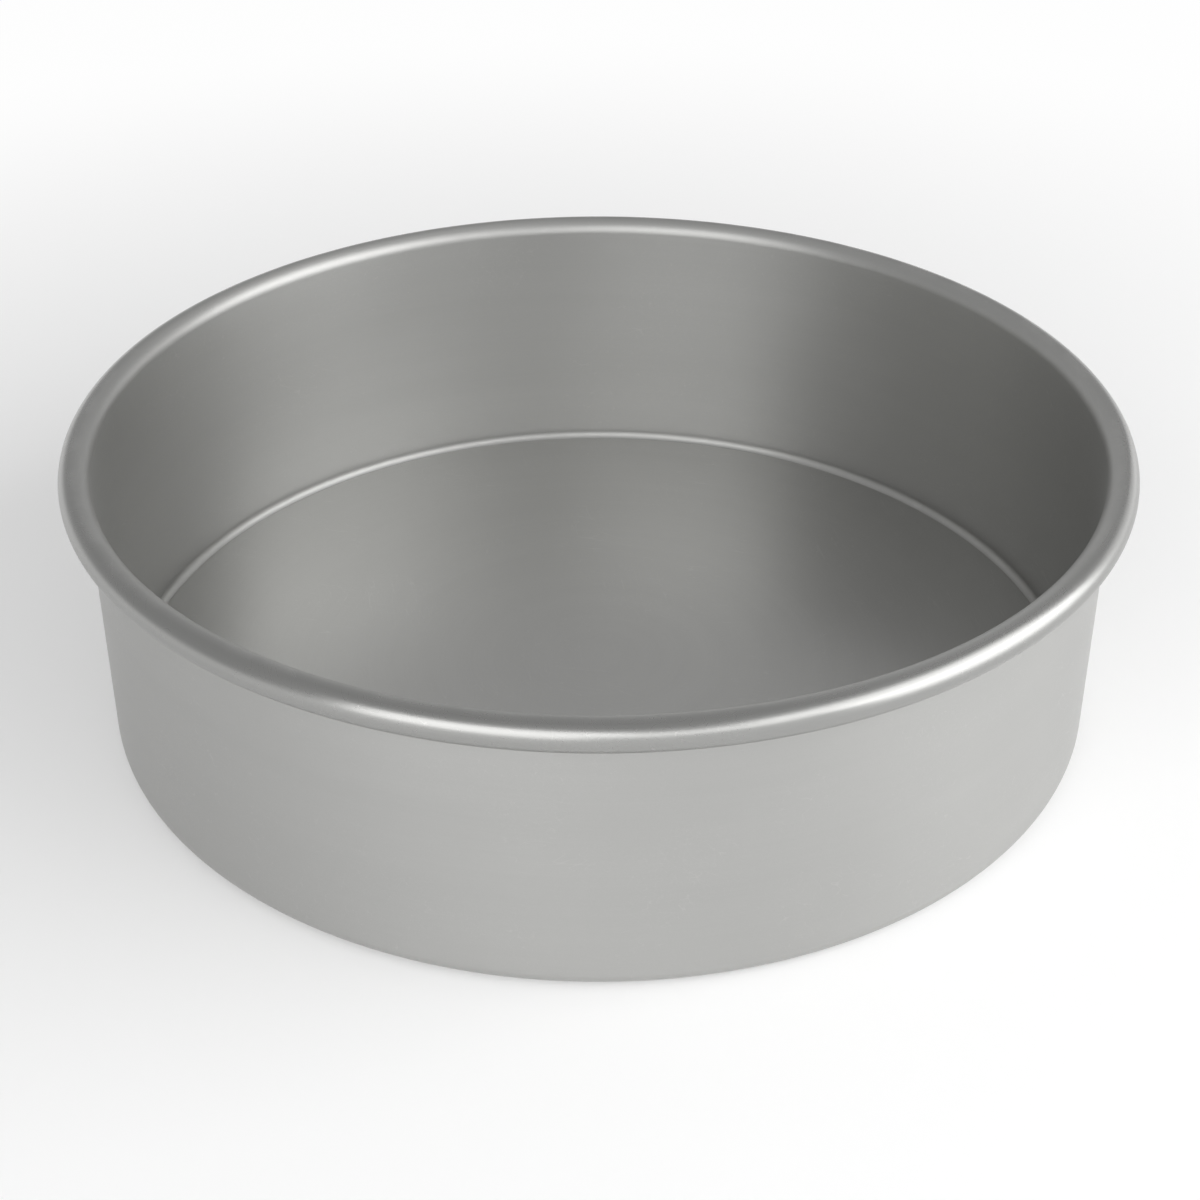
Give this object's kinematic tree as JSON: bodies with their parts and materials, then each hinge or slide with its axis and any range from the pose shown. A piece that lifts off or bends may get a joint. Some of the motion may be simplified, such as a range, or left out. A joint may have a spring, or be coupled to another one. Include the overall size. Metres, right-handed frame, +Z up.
{
  "type": "round cake tin",
  "caption": "Deep round straight-sided cake tin in satin anodised aluminium, with a curled rim and a loose flat base that is pushed up to free the cake.",
  "frame": {"origin": "middle of the underside, on the surface that the tin stands on", "axes": "+Z up along the tin's axis; the tin is round, so X and Y are free, and the picture looks along +Y"},
  "size_m": [0.2696, 0.2696, 0.0755],
  "materials": {
    "spun_shell": "satin anodised, spun",
    "blanked_base": "satin anodised sheet"
  },
  "bodies": {
    "tin": {"tin_body": "spun_shell"},
    "base": {"loose_base": "blanked_base"}
  },
  "joints": [
    {"name": "base_lift", "type": "slide", "parent": "tin", "child": "base", "axis": [0, 0, 1], "range_m": [0, 0.09]}
  ]
}
